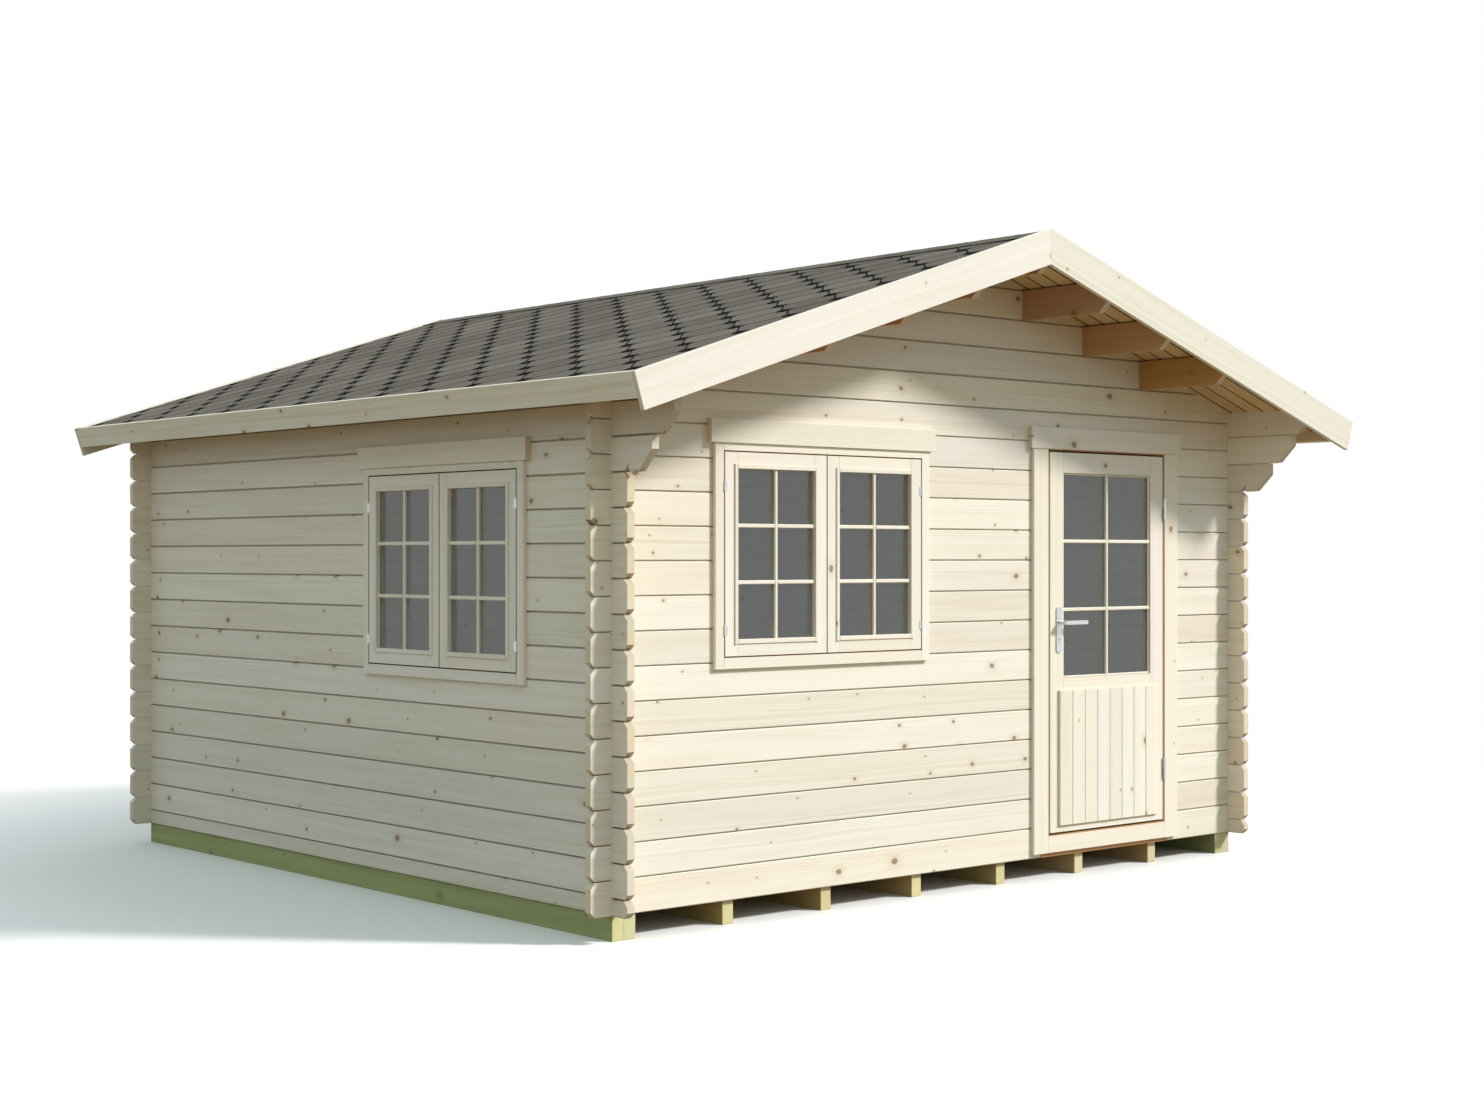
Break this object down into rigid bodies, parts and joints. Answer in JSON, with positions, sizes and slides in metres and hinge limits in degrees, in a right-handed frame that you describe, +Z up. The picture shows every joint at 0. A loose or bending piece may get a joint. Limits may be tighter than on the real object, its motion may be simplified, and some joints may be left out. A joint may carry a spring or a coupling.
{
  "type": "guest cabin",
  "caption": "Square log cabin with notched corner joints, a low gable roof with a front overhang, a part-glazed door that swings outward and casement windows on the front and left side.",
  "frame": {"origin": "on the ground under the ridge, midway between the front and back barge boards", "axes": "+X to the right of the front, +Y from the front to the back, +Z up"},
  "size_m": [4.37, 4.543, 2.7874],
  "materials": {
    "spruce": "planed bare softwood",
    "treated_timber": "sawn pressure-treated softwood",
    "shingle": "mineral granules on bitumen",
    "glass": "clear float glass",
    "steel": "zinc plated and brushed"
  },
  "bodies": {
    "cabin": {"side_bearers": "treated_timber", "floor_joists": "treated_timber", "floor_boards": "spruce", "front_wall_logs": "spruce", "back_wall_logs": "spruce", "left_wall_logs": "spruce", "right_wall_logs": "spruce", "front_gable_logs": "spruce", "back_gable_logs": "spruce", "left_top_log": "spruce", "right_top_log": "spruce", "ridge_purlin": "spruce", "left_purlins": "spruce", "right_purlins": "spruce", "left_roof_boards": "spruce", "right_roof_boards": "spruce", "left_shingles": "shingle", "right_shingles": "shingle", "ridge_cap": "shingle", "front_barge_boards": "spruce", "back_barge_boards": "spruce", "left_eave_fascia": "spruce", "right_eave_fascia": "spruce", "door_frame": "spruce", "door_casing": "spruce", "door_head_board": "spruce", "hinge_frame_plates": "steel", "front_window_frame": "spruce", "front_window_casing": "spruce", "front_window_head_board": "spruce", "front_window_sashes": "spruce", "front_window_glass": "glass", "side_window_frame": "spruce", "side_window_casing": "spruce", "side_window_head_board": "spruce", "side_window_sashes": "spruce", "side_window_glass": "glass"},
    "door": {"door_leaf_frame": "spruce", "door_panel_boards": "spruce", "door_glass": "glass", "hinge_leaf_plates": "steel", "handle_plates": "steel"},
    "lever": {"lever_handle": "steel"}
  },
  "joints": [
    {"name": "door_swing", "type": "hinge", "parent": "cabin", "child": "door", "pos_m": [1.351, -1.8013, 1], "axis": [0, 0, 1], "range_deg": [0, 110]},
    {"name": "lever_turn", "type": "hinge", "parent": "door", "child": "lever", "pos_m": [0.605, -1.7725, 1.14], "axis": [0, 1, 0], "range_deg": [0, 40], "stiffness_Nm_per_rad": 1.5, "springref_deg": -28.65}
  ]
}
